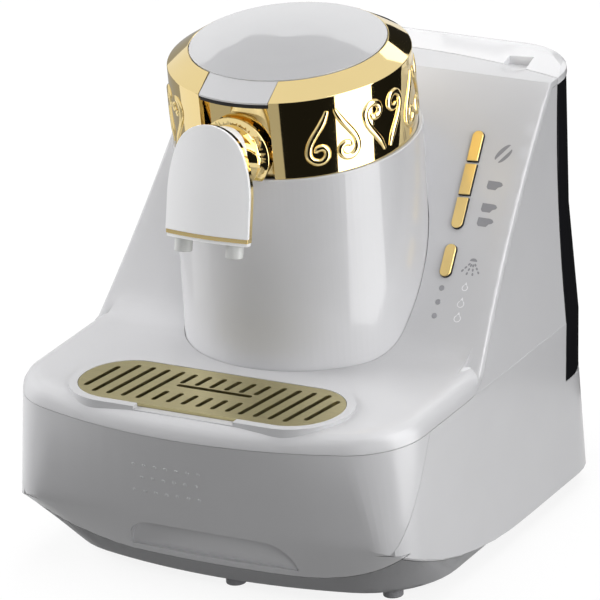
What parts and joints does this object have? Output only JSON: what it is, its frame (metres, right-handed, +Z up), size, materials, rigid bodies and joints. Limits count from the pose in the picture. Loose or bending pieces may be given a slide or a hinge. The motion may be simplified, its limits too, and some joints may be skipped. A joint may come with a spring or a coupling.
{
  "type": "electric turkish coffee maker",
  "caption": "Turkish coffee maker: tilted brewing head with hinged lid and spout on a column, sloping key panel, drip grille, drawer tray and lift-out rear water tank.",
  "frame": {"origin": "on the floor under the middle of the whole, between front and rear ends", "axes": "+X to the right seen from the front, +Y to the rear, +Z up"},
  "size_m": [0.2338, 0.2776, 0.2654],
  "materials": {
    "pearl_plastic": "satin gloss silver-white paint",
    "black_plastic": "matt black",
    "gold_plate": "mirror gold plating",
    "smoked_plastic": "smoked clear plastic",
    "lid_plastic": "gloss silver-white",
    "black_rubber": "matt",
    "grey_rubber": "matt",
    "pot_steel": "brushed",
    "zinc_steel": "zinc plated",
    "heater_alloy": "cast",
    "frame_plastic": "matt grey",
    "board_laminate": "solder mask",
    "hose_silicone": "translucent silicone",
    "light_lens": "clear lens",
    "nozzle_plastic": "satin"
  },
  "bodies": {
    "base": {"base_pan": "black_plastic", "side_panel_left": "pearl_plastic", "side_panel_right": "pearl_plastic", "rear_cover": "pearl_plastic", "chassis": "frame_plastic", "saddle_cover": "pearl_plastic", "column_shell": "pearl_plastic", "pot_stand": "frame_plastic", "heater_plate": "heater_alloy", "heater_coil": "heater_alloy", "brew_pot": "pot_steel", "ring_sleeve": "gold_plate", "ring_band": "gold_plate", "ring_bevel": "gold_plate", "head_hinge_pin": "zinc_steel", "spout_arm": "gold_plate", "spout_shield": "lid_plastic", "spout_trim": "gold_plate", "spout_back": "lid_plastic", "spout_nozzles": "nozzle_plastic", "key_carrier": "frame_plastic", "control_board": "board_laminate", "status_lights": "light_lens", "tank_bay": "frame_plastic", "tank_valve_socket": "black_rubber", "pump": "frame_plastic", "pump_hose": "hose_silicone", "heater_hose": "hose_silicone", "feet": "grey_rubber", "base_screws": "zinc_steel", "power_inlet": "black_plastic"},
    "head_lid": {"head_lid": "lid_plastic", "lid_seal": "black_rubber", "lip_gasket": "black_rubber"},
    "water_tank": {"water_tank": "smoked_plastic", "tank_valve": "nozzle_plastic", "tank_hinge_pin": "zinc_steel"},
    "tank_lid": {"tank_lid": "lid_plastic"},
    "drawer": {"drawer_front": "pearl_plastic", "drip_tray": "black_plastic"},
    "drip_grille": {"drip_grille": "gold_plate"},
    "key_beans": {"key_beans": "gold_plate"},
    "key_one_cup": {"key_one_cup": "gold_plate"},
    "key_two_cups": {"key_two_cups": "gold_plate"},
    "key_rinse": {"key_rinse": "gold_plate"}
  },
  "joints": [
    {"name": "head_lid_hinge", "type": "hinge", "parent": "base", "child": "head_lid", "pos_m": [0, 0.05848, 0.25872], "axis": [-1, 0, 0], "range_deg": [0, 95]},
    {"name": "tank_lift", "type": "slide", "parent": "base", "child": "water_tank", "axis": [0, 0.1564, 0.9877], "range_m": [0, 0.17]},
    {"name": "tank_lid_hinge", "type": "hinge", "parent": "water_tank", "child": "tank_lid", "pos_m": [0, 0.1362, 0.2192], "axis": [-1, 0, 0], "range_deg": [0, 100]},
    {"name": "drawer_slide", "type": "slide", "parent": "base", "child": "drawer", "axis": [0, -1, 0], "range_m": [0, 0.09]},
    {"name": "grille_lift", "type": "slide", "parent": "base", "child": "drip_grille", "axis": [0, 0, 1], "range_m": [0, 0.05]},
    {"name": "key_beans_press", "type": "slide", "parent": "base", "child": "key_beans", "axis": [0, 0.7302, -0.6833], "range_m": [0, 0.0008], "stiffness_N_per_m": 400, "springref_m": -0.0006},
    {"name": "key_one_cup_press", "type": "slide", "parent": "base", "child": "key_one_cup", "axis": [0, 0.7302, -0.6833], "range_m": [0, 0.0008], "stiffness_N_per_m": 400, "springref_m": -0.0006},
    {"name": "key_two_cups_press", "type": "slide", "parent": "base", "child": "key_two_cups", "axis": [0, 0.7302, -0.6833], "range_m": [0, 0.0008], "stiffness_N_per_m": 400, "springref_m": -0.0006},
    {"name": "key_rinse_press", "type": "slide", "parent": "base", "child": "key_rinse", "axis": [0, 0.7302, -0.6833], "range_m": [0, 0.0008], "stiffness_N_per_m": 400, "springref_m": -0.0006}
  ]
}
